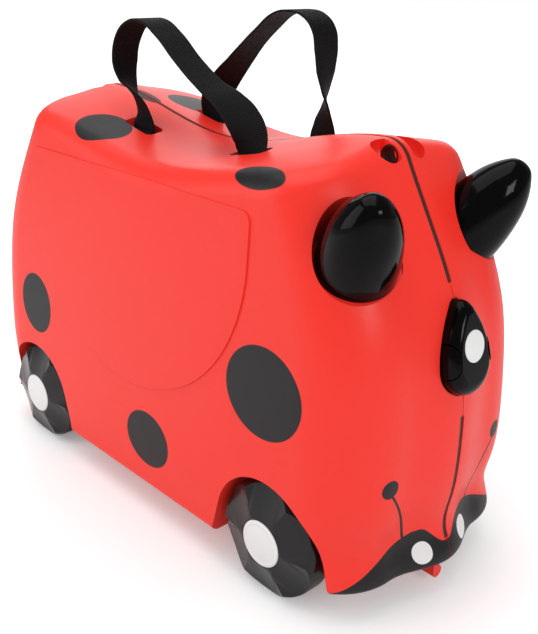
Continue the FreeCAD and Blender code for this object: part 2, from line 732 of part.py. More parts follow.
def handle(shares, side):
    """Carry handle at side * pocket distance: webbing that turns from bar to grip, sewn round two bars."""
    away = side * STRAP_POCKET_Y
    bar = strap_bar_height()
    route = []
    for along, up in shares:
        route.append(V(STRAP_POCKET_X * along, away, bar + HANDLE_RISE * up))
    curve = Part.BSplineCurve()
    curve.interpolate(route)
    first = curve.FirstParameter
    span = curve.LastParameter - first
    half = STRAP_WIDTH / 2
    thick = STRAP_THICKNESS / 2
    wires = []
    for i in range(STRAP_SECTIONS + 1):
        share = i / STRAP_SECTIONS
        centre = curve.value(first + span * share)
        tangent = curve.tangent(first + span * share)[0]
        flat = V(0, -side, 0)
        across = tangent.cross(flat)
        ease = (min(share, 1 - share) - STRAP_TWIST_START) / (STRAP_TWIST_END - STRAP_TWIST_START)
        ease = min(max(ease, 0.0), 1.0)
        twist = math.pi / 2 * (1 - ease * ease * (3 - 2 * ease))
        width = flat * math.cos(twist) + across * (side * math.sin(twist))
        depth = tangent.cross(width)
        corners = [centre + width * a + depth * b for a, b in
                   ((half, thick), (-half, thick), (-half, -thick), (half, -thick))]
        wires.append(Part.makePolygon(corners + corners[:1]))
    strap = Part.makeLoft(wires, True, False)
    for x in (STRAP_POCKET_X, -STRAP_POCKET_X):
        start = V(x - half, away, bar)
        end = V(x + half, away, bar)
        strap = strap.fuse(rod(STRAP_BAR_RADIUS + PART_GAP + STRAP_THICKNESS, start, end))
    for x in (STRAP_POCKET_X, -STRAP_POCKET_X):
        start = V(x - STRAP_WIDTH, away, bar)
        end = V(x + STRAP_WIDTH, away, bar)
        strap = strap.cut(rod(STRAP_BAR_RADIUS + RUNNING_FIT, start, end))
    return strap


def handle_bars():
    """Bars across the right pockets that the handle strap is sewn round."""
    bar = strap_bar_height()
    half = STRAP_WIDTH / 2 + STRAP_END_GAP
    front = rod(STRAP_BAR_RADIUS, V(STRAP_POCKET_X - half, -STRAP_POCKET_Y, bar),
                V(STRAP_POCKET_X + half, -STRAP_POCKET_Y, bar))
    return [front, reversed_end(front)]


def screw_room(spot):
    """Hole and counterbore in the left half for one catch screw, in the catch's frame."""
    side, height = spot
    under = V(-CASE_WALL, side, height)
    hole = rod(SCREW_RADIUS + SEATED_FIT, under, V(CATCH_DEPTH, side, height))
    return hole.fuse(rod(SCREW_HEAD_RADIUS + PART_GAP, under, under - V(CATCH_DEPTH, 0, 0)))


def catch_screws():
    """Screws that hold a catch to the left half, headed inside the case, in the catch's frame."""
    pieces = []
    for side, height in CATCH_SCREW_SPOTS:
        pieces.append(screw(V(-CASE_WALL, side, height), V(CATCH_DEPTH / 2, side, height)))
    return pieces


def pawl_slot():
    """Slot in the right half's pad, open to the seam, for the catch's pawl."""
    half = PAWL_HALF + PAWL_END_GAP
    return box(-2 * CATCH_DEPTH, CATCH_DEPTH, -PAWL_OUT - PAWL_SIDE_GAP, OVERCUT, -BUTTON_DROP - half,
               -BUTTON_DROP + half)


def button_prism(growth):
    """Round-ended cutter for the right squeeze button of a catch."""
    middle = V(0, -CATCH_HALF_WIDTH - BUTTON_OFFSET, -BUTTON_DROP)
    low = middle + V(BUTTON_LIFT - growth, 0, 0)
    return rod(BUTTON_RADIUS + growth, low, middle + V(2 * CATCH_DEPTH, 0, 0))


def catch_hollow():
    """Room inside the catch cover for the stems and the spring."""
    room = catch_block(-CATCH_WALL, -OVERCUT, CATCH_DEPTH - CATCH_FACE)
    return room.common(box(-OVERCUT, CATCH_DEPTH, -FAR, FAR, -BUTTON_DROP - CATCH_HOLLOW_BELOW,
                           -BUTTON_DROP + CATCH_HOLLOW_ABOVE))


def catch_body():
    """Cover of a catch in its own frame."""
    body = catch_solid().cut(catch_hollow())
    for prism in (button_prism(BUTTON_GAP), mirrored(button_prism(BUTTON_GAP))):
        body = body.cut(prism)
    front = V(2 * CATCH_DEPTH, 0, DISC_RISE)
    recess = rod(DISC_RADIUS + PART_GAP, V(CATCH_DEPTH - DISC_RECESS, 0, DISC_RISE), front)
    bore = rod(DISC_SHAFT_RADIUS + RUNNING_FIT, V(0, 0, DISC_RISE), front)
    body = body.cut(recess)
    body = body.cut(bore)
    body = body.cut(box(-OVERCUT, PART_GAP, -FAR, SEAM_GAP / 2, -FAR, FAR))
    for side, height in CATCH_SCREW_SPOTS:
        tip = V(CATCH_DEPTH / 2 + OVERCUT, side, height)
        body = body.cut(rod(SCREW_RADIUS + SEATED_FIT, V(-OVERCUT, side, height), tip))
    return body


def catch_button():
    """Right squeeze button of a catch in its own frame, with its stem."""
    face = catch_solid(PROUD_BUTTON).common(button_prism(0.0))
    inner = CATCH_HALF_WIDTH - 2 * CATCH_WALL
    face = face.cut(box(-OVERCUT, CATCH_DEPTH - CATCH_FACE - OVERCUT, -inner, inner, -FAR, FAR))
    stem_end = SPRING_RADIUS + BUTTON_TRAVEL + STEM_END_GAP
    stem = box(STEM_LOW, STEM_HIGH, -inner - 2 * OVERCUT, -stem_end, -BUTTON_DROP - STEM_HALF,
               -BUTTON_DROP + STEM_HALF)
    socket = rod(SPRING_RADIUS + PART_GAP, V(SPRING_DEPTH, -SPRING_REACH, -BUTTON_DROP),
                 V(SPRING_DEPTH, 0, -BUTTON_DROP))
    return face.fuse(stem).cut(socket).removeSplitter()


def catch_pawl():
    """Arm of the right button that reaches through the pad of the right half."""
    return box(-PAWL_REACH, STEM_LOW, -PAWL_OUT, -PAWL_IN, -BUTTON_DROP - PAWL_HALF,
               -BUTTON_DROP + PAWL_HALF)


def catch_spring():
    """Spring sleeve between the two stems, drawn at its pressed length."""
    reach = SPRING_REACH - BUTTON_TRAVEL - PART_GAP / 2
    start = V(SPRING_DEPTH, -reach, -BUTTON_DROP)
    end = V(SPRING_DEPTH, reach, -BUTTON_DROP)
    return rod(SPRING_RADIUS, start, end).cut(rod(SPRING_RADIUS - SPRING_WIRE, start, end))


def domed_disc(radius, thick, dome):
    """Disc standing on z = 0 whose upper face is a shallow ball cap."""
    ball = (radius ** 2 + dome ** 2) / (2 * dome)
    centre = thick + dome - ball
    half_turn = math.asin(radius / ball) / 2

    def place(u, v):
        return V(u, 0, v)

    middle = place(ball * math.sin(half_turn), centre + ball * math.cos(half_turn))
    outline = [Part.makeLine(place(0, 0), place(radius, 0)),
               Part.makeLine(place(radius, 0), place(radius, thick)),
               Part.Arc(place(radius, thick), middle, place(0, thick + dome)).toShape(),
               Part.makeLine(place(0, thick + dome), place(0, 0))]
    return closed_face(outline).revolve(V(0, 0, 0), V(0, 0, 1), 360)


def lock_disc():
    """Disc of a catch's lock, with its shaft, in the catch's frame."""
    face = CATCH_DEPTH - DISC_RECESS + PART_GAP / 2
    disc = domed_disc(DISC_RADIUS, CATCH_DEPTH - face, DISC_DOME)
    disc.rotate(V(0, 0, 0), V(0, 1, 0), 90)
    disc.translate(V(face, 0, DISC_RISE))
    shaft = rod(DISC_SHAFT_RADIUS, V(cam_face(), 0, DISC_RISE), V(face + DISC_DOME / 2, 0, DISC_RISE))
    return disc.fuse(shaft).removeSplitter()


def cam_face():
    """Depth of the inner end of the lock's shaft, where the cam sits."""
    return CATCH_DEPTH - CATCH_FACE - PART_GAP


def lock_cam():
    """Cam on the inner end of the lock's shaft, in the catch's frame."""
    return box(cam_face() - CAM_THICKNESS, cam_face(), -CAM_HALF, CAM_HALF, DISC_RISE - CAM_HALF,
               DISC_RISE + CAM_LENGTH)


def seals():
    """Seal strips in the front seam: upper, notched round the tow eye, and lower."""
    strip_out = case_form(SEAL_SINK)
    strip_in = case_form(SEAL_DEPTH)
    eye = tow_eye_centre()
    reach = V(0, 2 * SEAL_HALF_WIDTH, 0)
    notch = rod(TOW_EYE_RADIUS + SEAL_CLEARANCE, eye - reach, eye + reach)
    band = strip_out.cut(strip_in).cut(notch)
    return [seal_band(band, low, high, SEAL_HALF_WIDTH) for low, high in (UPPER_SEAL, LOWER_SEAL)]


def pack_strap(skin):
    """Packing strap along the left half and its anchors on the end walls."""
    half = PACK_STRAP_WIDTH / 2
    low = PACK_STRAP_HEIGHT - half
    side = PACK_ANCHOR / 2
    wall = box(0, FAR, PACK_STRAP_Y - side, PACK_STRAP_Y + side, PACK_STRAP_HEIGHT - side,
               PACK_STRAP_HEIGHT + side).common(skin)
    anchor_x = wall.optimalBoundingBox(False, False).XMax
    face_x = anchor_x - PACK_ANCHOR_THICKNESS
    anchor = wall.common(box(face_x, FAR, -FAR, FAR, -FAR, FAR))
    strap = box(-face_x, face_x, PACK_STRAP_Y, PACK_STRAP_Y + PACK_STRAP_THICKNESS, low,
                low + PACK_STRAP_WIDTH)
    return strap, [anchor, reversed_end(anchor)]


def write(name, pieces):
    """Write one node; a list is a group of separate solids."""
    shape = Part.makeCompound(pieces) if isinstance(pieces, list) else pieces.Solids[0]
    if not isinstance(pieces, list) and len(pieces.Solids) > 1:
        print("more than one solid in", name, [round(solid.Volume, 1) for solid in pieces.Solids])
    if not shape.isValid():
        print("not valid:", name)
    shape.exportStep("parts/%s.step" % name)


def main():
    """Build every piece and write it to its own file."""
    os.makedirs("parts", exist_ok=True)
    outer = case_form(0.0)
    skin = case_form(CASE_WALL)
    rim = case_form(RIM_DEPTH)
    right, left = half_shells(outer, skin, rim)
    write("right_shell", right)
    write("left_shell", left)
    write("hinge_pins", hinge_pins())

    corner_pieces = {"wheel": wheel(), "hub_cap": hub_cap(), "axle": axle()}
    for kind, piece in corner_pieces.items():
        write("right_front_" + kind, piece)
        write("right_rear_" + kind, reversed_end(piece))
        write("left_front_" + kind, mirrored(piece))
        write("left_rear_" + kind, mirrored(reversed_end(piece)))

    side_pieces = {"wheel_washers": wheel_washers(), "horn": horn(), "horn_screw": horn_screw(),
                   "handle_bars": handle_bars()}
    for kind, piece in side_pieces.items():
        write("right_" + kind, piece)
        other = [mirrored(solid) for solid in piece] if isinstance(piece, list) else mirrored(piece)
        write("left_" + kind, other)

    write("right_handle", handle(RIGHT_ROUTE, -1))
    write("left_handle", handle(LEFT_ROUTE, 1))

    button = catch_button()
    hooked = button.fuse(catch_pawl()).removeSplitter()
    catch_pieces = {"catch_body": catch_body(), "catch_right_button": hooked,
                    "catch_left_button": mirrored(button), "catch_spring": catch_spring(),
                    "lock_disc": lock_disc(), "lock_cam": lock_cam()}
    upper, lower = seals()
    for end, front in (("front_", True), ("rear_", False)):
        for kind, piece in catch_pieces.items():
            write(end + kind, catch_place(piece, front))
        write(end + "catch_screws", [catch_place(piece, front) for piece in catch_screws()])
        write(end + "upper_seal", upper if front else reversed_end(upper))
        write(end + "lower_seal", lower if front else reversed_end(lower))

    strap, anchors = pack_strap(case_form(CASE_WALL + PART_GAP / 2))
    write("pack_strap", strap)
    write("pack_strap_anchors", anchors)


main()
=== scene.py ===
"""Looks of the ride-on suitcase: finishes, webbing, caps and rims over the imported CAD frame."""
from __future__ import annotations

import json
import logging
import math
from contextlib import contextmanager
from dataclasses import dataclass
from enum import Enum
from typing import Any, Iterator, Mapping, Optional, Sequence, Union

import bpy
from mathutils import Matrix, Vector

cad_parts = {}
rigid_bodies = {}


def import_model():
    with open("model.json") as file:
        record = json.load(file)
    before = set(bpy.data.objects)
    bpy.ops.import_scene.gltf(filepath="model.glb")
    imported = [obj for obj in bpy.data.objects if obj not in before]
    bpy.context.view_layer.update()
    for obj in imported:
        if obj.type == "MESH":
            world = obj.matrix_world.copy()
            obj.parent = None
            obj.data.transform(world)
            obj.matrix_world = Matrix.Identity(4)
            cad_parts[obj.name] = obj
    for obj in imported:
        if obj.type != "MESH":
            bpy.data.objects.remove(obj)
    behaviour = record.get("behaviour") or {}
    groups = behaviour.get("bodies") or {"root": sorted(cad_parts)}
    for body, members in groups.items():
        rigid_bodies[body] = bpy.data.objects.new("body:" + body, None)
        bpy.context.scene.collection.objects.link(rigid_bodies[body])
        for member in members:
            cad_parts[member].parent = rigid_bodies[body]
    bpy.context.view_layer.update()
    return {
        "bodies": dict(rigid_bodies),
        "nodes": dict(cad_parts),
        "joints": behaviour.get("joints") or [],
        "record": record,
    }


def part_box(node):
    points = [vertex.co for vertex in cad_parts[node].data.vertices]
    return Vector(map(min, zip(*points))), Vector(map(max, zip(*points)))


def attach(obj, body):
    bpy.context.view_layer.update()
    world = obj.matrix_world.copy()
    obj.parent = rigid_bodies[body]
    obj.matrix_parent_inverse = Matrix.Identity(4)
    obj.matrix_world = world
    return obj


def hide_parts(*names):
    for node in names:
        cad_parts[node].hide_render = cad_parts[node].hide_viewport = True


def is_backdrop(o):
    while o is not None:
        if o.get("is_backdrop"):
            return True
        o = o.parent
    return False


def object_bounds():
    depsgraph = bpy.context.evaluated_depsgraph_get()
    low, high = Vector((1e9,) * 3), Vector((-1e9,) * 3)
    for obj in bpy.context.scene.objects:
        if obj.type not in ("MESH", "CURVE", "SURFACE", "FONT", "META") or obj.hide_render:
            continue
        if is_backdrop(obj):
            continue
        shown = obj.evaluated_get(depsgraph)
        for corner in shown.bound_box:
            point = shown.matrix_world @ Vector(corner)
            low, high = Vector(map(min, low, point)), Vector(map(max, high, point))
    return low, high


LOG = logging.getLogger("ride_on_suitcase")
MM = 0.001

Colour = tuple[float, float, float, float]
Point = tuple[float, float, float]


class Slot(str, Enum):
    """Material slots of the record."""

    SHELL = "shell_plastic"
    BLACK = "black_plastic"
    WHEEL = "wheel_plastic"
    WHITE = "white_plastic"
    SEAL = "seal_rubber"
    WEBBING = "webbing"
    STEEL = "steel"


class Half(Enum):
    """Which half of the case carries a mark."""

    RIGHT = -1
    BOTH = 0
    LEFT = 1


class Wire:
    """An output socket of a material that takes part in arithmetic."""

    def __init__(self, graph: "Graph", socket: Optional[bpy.types.NodeSocket]) -> None:
        self.graph = graph
        self.socket = socket

    def math(self, operation: str, *values: "Value") -> "Wire":
        """Put values through a Math node.

        Args:
            operation: the node's operation.
            values: its inputs in order.
        Returns:
            The node's output.
        """
        return self.graph.node("ShaderNodeMath", {"operation": operation}, dict(enumerate(values)))

    def __add__(self, other: "Value") -> "Wire":
        return self.math("ADD", self, other)

    def __radd__(self, other: "Value") -> "Wire":
        return self.math("ADD", other, self)

    def __sub__(self, other: "Value") -> "Wire":
        return self.math("SUBTRACT", self, other)

    def __rsub__(self, other: "Value") -> "Wire":
        return self.math("SUBTRACT", other, self)

    def __mul__(self, other: "Value") -> "Wire":
        return self.math("MULTIPLY", self, other)

    def __rmul__(self, other: "Value") -> "Wire":
        return self.math("MULTIPLY", other, self)

    def __truediv__(self, other: "Value") -> "Wire":
        return self.math("DIVIDE", self, other)

    def __abs__(self) -> "Wire":
        return self.math("ABSOLUTE", self)

    def least(self, other: "Value") -> "Wire":
        """Smaller of two values."""
        return self.math("MINIMUM", self, other)

    def most(self, other: "Value") -> "Wire":
        """Larger of two values."""
        return self.math("MAXIMUM", self, other)

    def floor(self) -> "Wire":
        """Whole part."""
        return self.math("FLOOR", self)

    def sine(self) -> "Wire":
        """Sine of an angle in radians."""
        return self.math("SINE", self)

    def root(self) -> "Wire":
        """Square root."""
        return self.math("SQRT", self)

    def clipped(self) -> "Wire":
        """Value held between 0 and 1."""
        return self.graph.node("ShaderNodeClamp", {}, {"Value": self})

    def inside(self, soft: float) -> "Wire":
        """1 where the value is above 0 and 0 below, over a soft edge."""
        return (self / soft + 0.5).clipped()

    def eased(self) -> "Wire":
        """Smooth step from 0 to 1."""
        held = self.clipped()
        return held * held * (3.0 - 2.0 * held)


Value = Union[Wire, float, int, Sequence[float]]


class Graph:
    """Builds one material's nodes."""

    def __init__(self, owner: Union[bpy.types.Material, bpy.types.World]) -> None:
        self.owner = owner
        owner.use_nodes = True
        self.tree = owner.node_tree
        self.tree.nodes.clear()

    @classmethod
    def material(cls, name: str) -> "Graph":
        """Graph of a new material."""
        return cls(bpy.data.materials.new(name))

    def node(self, kind: str, settings: Mapping[str, Any], sockets: Mapping[Any, Value],
             output: Union[int, str] = 0) -> Wire:
        """Add a node.

        Args:
            kind: the node's type.
            settings: its properties, set first.
            sockets: values or wires of its inputs, by name or number.
            output: which output to hand back.
        Returns:
            That output; the closing node has none.
        """
        node = self.tree.nodes.new(kind)
        for key, value in settings.items():
            setattr(node, key, value)
        for key, value in sockets.items():
            if isinstance(value, Wire):
                self.tree.links.new(value.socket, node.inputs[key])
            else:
                node.inputs[key].default_value = value
        return Wire(self, node.outputs[output] if len(node.outputs) else None)

    def split(self, vector: Wire) -> tuple[Wire, Wire, Wire]:
        """Three parts of a vector."""
        parts = self.node("ShaderNodeSeparateXYZ", {}, {0: vector})
        return tuple(Wire(self, socket) for socket in parts.socket.node.outputs)

    def place(self) -> tuple[Wire, Wire, Wire]:
        """Object coordinates in millimetres."""
        spot = self.node("ShaderNodeTexCoord", {}, {}, "Object")
        return self.split(self.node("ShaderNodeVectorMath", {"operation": "SCALE"}, {0: spot, "Scale": 1 / MM}))

    def facing(self) -> tuple[Wire, Wire, Wire]:
        """Surface normal in the object's frame."""
        return self.split(self.node("ShaderNodeTexCoord", {}, {}, "Normal"))

    def noise(self, scale: float, detail: float = 2.0, stretch: Point = (1.0, 1.0, 1.0)) -> Wire:
        """Noise over the object.

        Args:
            scale: cells per metre.
            detail: octaves.
            stretch: factor on each axis.
        Returns:
            A value between 0 and 1.
        """
        spot = self.node("ShaderNodeTexCoord", {}, {}, "Object")
        spot = self.node("ShaderNodeVectorMath", {"operation": "MULTIPLY"}, {0: spot, 1: stretch})
        return self.node("ShaderNodeTexNoise", {}, {"Vector": spot, "Scale": scale, "Detail": detail})

    def mix(self, factor: Value, first: Value, second: Value) -> Wire:
        """Colour between two, by factor."""
        return self.node("ShaderNodeMix", {"data_type": "RGBA"}, {0: factor, 6: first, 7: second}, 2)

    def bump(self, height: Wire, depth: float, strength: float, edge: float = 0.0) -> Wire:
        """Normal with relief.

        Args:
            height: relief between 0 and 1.
            depth: metres between lowest and highest.
            strength: share of the effect.
            edge: radius in metres that rounds sharp edges, or 0.
        Returns:
            The normal.
        """
        sockets: dict[str, Value] = {"Height": height, "Distance": depth, "Strength": strength}
        if edge > 0.0:
            sockets["Normal"] = self.node("ShaderNodeBevel", {"samples": 4}, {"Radius": edge})
        return self.node("ShaderNodeBump", {}, sockets)

    def surface(self, sockets: Mapping[str, Value]) -> bpy.types.Material:
        """Finish the material with a Principled shader and these inputs."""
        shader = self.node("ShaderNodeBsdfPrincipled", {}, sockets)
        self.node("ShaderNodeOutputMaterial", {}, {"Surface": shader})
        return self.owner


@dataclass(frozen=True)
class Spot:
    """A round dark mark on the case: an ellipsoid, in millimetres, that the surface passes through."""

    centre: Point
    radii: Point
    half: Half = Half.BOTH


@dataclass(frozen=True)
class ShellFinish:
    """Bright satin plastic with ladybird spots and a face."""

    spots: tuple[Spot, ...]
    red: Colour = (0.95, 0.030, 0.016, 1.0)
    deep_red: Colour = (0.84, 0.018, 0.010, 1.0)
    mark: Colour = (0.005, 0.0045, 0.0055, 1.0)
    white: Colour = (0.80, 0.80, 0.80, 1.0)
    # colour of the painted shade in the tow-eye holes
    eye_hole_shade: Colour = (0.030, 0.014, 0.012, 1.0)
    roughness: float = 0.34
    face_from: float = 165.0
    face_above: float = 20.8
    paint_edge: float = 0.5
    middle_height: float = 150.0
    chin_low: float = 42.5
    chin_rise: float = 14.5
    chin_top: float = 57.5
    chin_turn: float = 28.0
    feeler_foot: float = 54.0
    feeler_end: float = 100.0
    feeler_half: float = 1.15
    tip_side: float = 59.0
    tip_height: float = 104.3
    tip_radius: float = 6.7
    dot_side: float = 22.8
    dot_height: float = 39.8
    dot_radius: float = 7.6
    eye_along: float = 159.0
    eye_height: float = 300.0
    eye_radius: float = 7.2
    eye_half: float = 9.0

    def spot_mask(self, graph: Graph) -> Wire:
        """Where the round spots lie."""
        x, y, z = graph.place()
        mask: Value = 0.0
        for spot in self.spots:
            across = abs(y) if spot.half is Half.BOTH else y * float(spot.half.value)
            parts = [(axis - centre) / radius for axis, centre, radius in zip((x, across, z), spot.centre, spot.radii)]
            reach = (parts[0] * parts[0] + parts[1] * parts[1] + parts[2] * parts[2]).root()
            mask = ((1.0 - reach) * min(spot.radii)).inside(self.paint_edge).most(mask)
        nx, ny, nz = graph.facing()
        outward = nx * x + 2.0 * ny * y + nz * (z - self.middle_height)
        return mask * outward.inside(self.paint_edge)

    def chin_mask(self, graph: Graph) -> Wire:
        """Dark band along the chin, both halves alike."""
        x, y, z = graph.place()
        side = abs(y)
        rise = self.chin_low + self.chin_rise * ((side - 2.0) / 21.0).eased()
        beyond = side - self.chin_turn
        fall = self.chin_top - 0.30 * beyond - 0.003 * beyond * beyond
        band = (rise.least(fall) - z).inside(self.paint_edge) * (z - self.face_above).inside(self.paint_edge)
        return band * (x - self.face_from).inside(1.0)

    def feeler_mask(self, graph: Graph) -> Wire:
        """Two feelers with round ends above the chin."""
        x, y, z = graph.place()
        side = abs(y)
        climb = z - self.feeler_foot
        line = 36.3 + 0.22 * climb + 0.0055 * climb * climb
        stalk = (self.feeler_half - abs(side - line)).inside(0.4) * climb.inside(1.0) * (self.feeler_end - z).inside(1.0)
        across = side - self.tip_side
        up = z - self.tip_height
        tip = (self.tip_radius - (across * across + up * up).root()).inside(self.paint_edge)
        return stalk.most(tip) * (x - self.face_from).inside(1.0)

    def dot_mask(self, graph: Graph) -> Wire:
        """White dots on the chin band."""
        x, y, z = graph.place()
        across = abs(y) - self.dot_side
        up = z - self.dot_height
        disc = (self.dot_radius - (across * across + up * up).root()).inside(self.paint_edge)
        return disc * (x - self.face_from).inside(1.0)

    def eye_shade_mask(self, graph: Graph) -> Wire:
        """Painted shade in the tow eyes: a dark ring round and inside each hole."""
        x, y, z = graph.place()
        along = abs(x) - self.eye_along
        up = z - self.eye_height
        ring = (self.eye_radius - (along * along + up * up).root()).inside(0.4)
        return ring * (self.eye_half - abs(y)).inside(self.paint_edge)

    def material(self) -> bpy.types.Material:
        """Build the material."""
        graph = Graph.material("shell")
        nx, _, _ = graph.facing()
        front = nx.inside(0.1)
        tone = graph.noise(9.0, 3.0)
        red = graph.mix(tone, self.deep_red, self.red)
        red = graph.mix(0.72, red, self.red)
        dark = self.spot_mask(graph).most(self.chin_mask(graph) * front).most(self.feeler_mask(graph) * front)
        colour = graph.mix(dark, red, self.mark)
        # painted shade: the tow-eye holes darkened where shade falls inside them
        colour = graph.mix(self.eye_shade_mask(graph), colour, self.eye_hole_shade)
        colour = graph.mix(self.dot_mask(graph) * front, colour, self.white)
        grain = graph.noise(2600.0, 2.0)
        haze = graph.noise(40.0, 3.0)
        return graph.surface({
            "Base Color": colour,
            "Roughness": self.roughness + 0.06 * haze + 0.03 * grain + 0.05 * dark,
            "Specular IOR Level": 0.4,
            "Normal": graph.bump(grain, 0.00004, 0.35, 0.0007),
        })


@dataclass(frozen=True)
class PlasticFinish:
    """Moulded plastic in one colour with a fine haze."""

    name: str
    colour: Colour
    roughness: float
    coat: float = 0.0
    grain: float = 0.00002
    spread: float = 0.25
    edge: float = 0.0004
    gleam: float = 0.5

    def material(self) -> bpy.types.Material:
        """Build the material."""
        graph = Graph.material(self.name)
        cloud = graph.noise(35.0, 4.0)
        fine = graph.noise(1800.0, 2.0)
        darker = tuple(part * (1.0 - self.spread) for part in self.colour[:3]) + (1.0,)
        return graph.surface({
            "Base Color": graph.mix(cloud, darker, self.colour),
            "Roughness": self.roughness + 0.10 * (cloud - 0.5) + 0.04 * (fine - 0.5),
            "Specular IOR Level": self.gleam,
            "Coat Weight": self.coat,
            "Coat Roughness": 0.05,
            "Normal": graph.bump(fine, self.grain, 0.4, self.edge),
        })


@dataclass(frozen=True)
class SteelFinish:
    """Turned steel with a fine brushed grain."""

    name: str = "steel"
    colour: Colour = (0.56, 0.56, 0.57, 1.0)

    def material(self) -> bpy.types.Material:
        """Build the material."""
        graph = Graph.material(self.name)
        brushed = graph.noise(900.0, 3.0, (1.0, 6.0, 1.0))
        cloud = graph.noise(60.0, 3.0)
        return graph.surface({
            "Base Color": graph.mix(cloud, (0.42, 0.42, 0.43, 1.0), self.colour),
            "Metallic": 1.0,
            "Roughness": 0.24 + 0.16 * brushed,
            "Normal": graph.bump(brushed, 0.00002, 0.5),
        })


@dataclass(frozen=True)
class WebbingFinish:
    """Black woven webbing: ribs across and warp columns along."""

    name: str = "webbing"
    dark: Colour = (0.002, 0.002, 0.0022, 1.0)
    light: Colour = (0.007, 0.007, 0.0075, 1.0)
    rib: float = 1.5
    column: float = 1.9
    width: float = 25.0

    def material(self) -> bpy.types.Material:
        """Build the material. The UV map holds millimetres along and across the strap."""
        graph = Graph.material(self.name)
        along, across, _ = graph.split(graph.node("ShaderNodeUVMap", {"uv_map": "UVMap"}, {}))
        row = (across / self.column).floor()
        wave = ((along / self.rib + 0.5 * row) * (2.0 * math.pi)).sine() * 0.5 + 0.5
        ridge = abs((across / self.column * math.pi).sine())
        edge = (abs(across - self.width / 2) - (self.width / 2 - 1.6)).inside(0.3)
        weave = wave * (0.35 + 0.65 * ridge)
        weave = weave.most(edge * (0.4 + 0.6 * wave))
        fuzz = graph.noise(3000.0, 2.0)
        wear = graph.noise(45.0, 3.0)
        # painted shade: the weave's grooves darker than its ribs and selvedge, with random wear and fuzz tone on top
        shade = (0.25 + 0.55 * weave + 0.25 * (wear - 0.5) + 0.2 * (fuzz - 0.5)).clipped()
        return graph.surface({
            "Base Color": graph.mix(shade, self.dark, self.light),
            "Roughness": 0.74 - 0.16 * weave,
            "Specular IOR Level": 0.16,
            "Normal": graph.bump(weave + 0.15 * fuzz, 0.0003, 0.8),
        })


def only(obj: bpy.types.Object) -> None:
    """Make obj the one selected and active object."""
    bpy.ops.object.select_all(action="DESELECT")
    obj.select_set(True)
    bpy.context.view_layer.objects.active = obj


@contextmanager
def editing(obj: bpy.types.Object) -> Iterator[bpy.types.Object]:
    """Edit mode on obj for the time of a with block."""
    only(obj)
    bpy.ops.object.mode_set(mode="EDIT")
    try:
        yield obj
    finally:
        bpy.ops.object.mode_set(mode="OBJECT")


def newest(name: str) -> bpy.types.Object:
    """Name the object that an operator just added."""
    obj = bpy.context.view_layer.objects.active
    obj.name = name
    obj.data.name = name
    return obj


def applied(obj: bpy.types.Object, kind: str, **settings: Any) -> None:
    """Add a modifier with these settings and apply it."""
    modifier = obj.modifiers.new(kind.lower(), kind)
    for key, value in settings.items():
        setattr(modifier, key, value)
    only(obj)
    bpy.ops.object.modifier_apply(modifier=modifier.name)


def smooth(obj: bpy.types.Object, angle: float) -> None:
    """Shade smooth where faces meet at less than angle, in degrees."""
    only(obj)
    bpy.ops.object.shade_smooth_by_angle(angle=math.radians(angle))


def pick_faces(obj: bpy.types.Object, direction: Point, least: float = 0.9) -> None:
    """Select the faces that look in a direction."""
    with editing(obj):
        bpy.ops.mesh.select_mode(type="FACE")
        bpy.ops.mesh.select_all(action="DESELECT")
    aim = Vector(direction)
    for face in obj.data.polygons:
        face.select = face.normal.dot(aim) > least


def copied(obj: bpy.types.Object, name: str, turn: Matrix) -> bpy.types.Object:
    """Copy with its own mesh, turned and moved in the mesh.

    Args:
        obj: the model of the repeat.
        name: the copy's name.
        turn: where the copy goes.
    Returns:
        The copy.
    """
    mesh = obj.data.copy()
    mesh.transform(turn)
    if turn.determinant() < 0:
        mesh.flip_normals()
    copy = bpy.data.objects.new(name, mesh)
    bpy.context.scene.collection.objects.link(copy)
    return copy


class Dresser:
    """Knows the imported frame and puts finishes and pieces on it."""

    def __init__(self, frame: Mapping[str, Any]) -> None:
        self.nodes: Mapping[str, bpy.types.Object] = frame["nodes"]
        self.home = {node: body for body, members in frame["record"]["behaviour"]["bodies"].items() for node in members}

    def coat(self, node: str, material: bpy.types.Material) -> None:
        """Give a CAD node that stays in sight its material."""
        data = self.nodes[node].data
        data.materials.clear()
        data.materials.append(material)
        LOG.info("%s keeps its CAD shape", node)

    def skin(self, node: str, material: bpy.types.Material, slot: Slot, angle: float) -> bpy.types.Object:
        """Show a merged and smoothed copy of a CAD node instead of it.

        Args:
            node: the CAD node.
            material: the copy's finish.
            slot: passed on to put and then add; not used.
            angle: edges sharper than this stay sharp, in degrees.
        Returns:
            The copy.
        """
        mesh = self.nodes[node].data.copy()
        obj = bpy.data.objects.new(node + "_skin", mesh)
        bpy.context.scene.collection.objects.link(obj)
        with editing(obj):
            bpy.ops.mesh.select_all(action="SELECT")
            bpy.ops.mesh.remove_doubles(threshold=0.000002)
        if mesh.has_custom_normals:
            only(obj)
            bpy.ops.mesh.customdata_custom_splitnormals_clear()
        smooth(obj, angle)
        applied(obj, "WEIGHTED_NORMAL", mode="FACE_AREA", weight=50, keep_sharp=True)
        return self.put(obj, [node], material, slot)

    def put(self, obj: bpy.types.Object, nodes: Sequence[str], material: bpy.types.Material,
            slot: Slot) -> bpy.types.Object:
        """Set a finished piece in the place of CAD nodes of one body.

        Args:
            obj: the piece.
            nodes: the nodes that it stands for.
            material: its finish.
            slot: passed on to add, which does not use it.
        Returns:
            The piece.
        """
        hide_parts(*nodes)
        return self.add(obj, self.home[nodes[0]], material, slot)

    def add(self, obj: bpy.types.Object, body: str, material: bpy.types.Material, slot: Slot) -> bpy.types.Object:
        """Let a piece ride on a body with its finish."""
        obj.data.materials.clear()
        obj.data.materials.append(material)
        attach(obj, body)
        LOG.info("%s rides on %s", obj.name, body)
        return obj


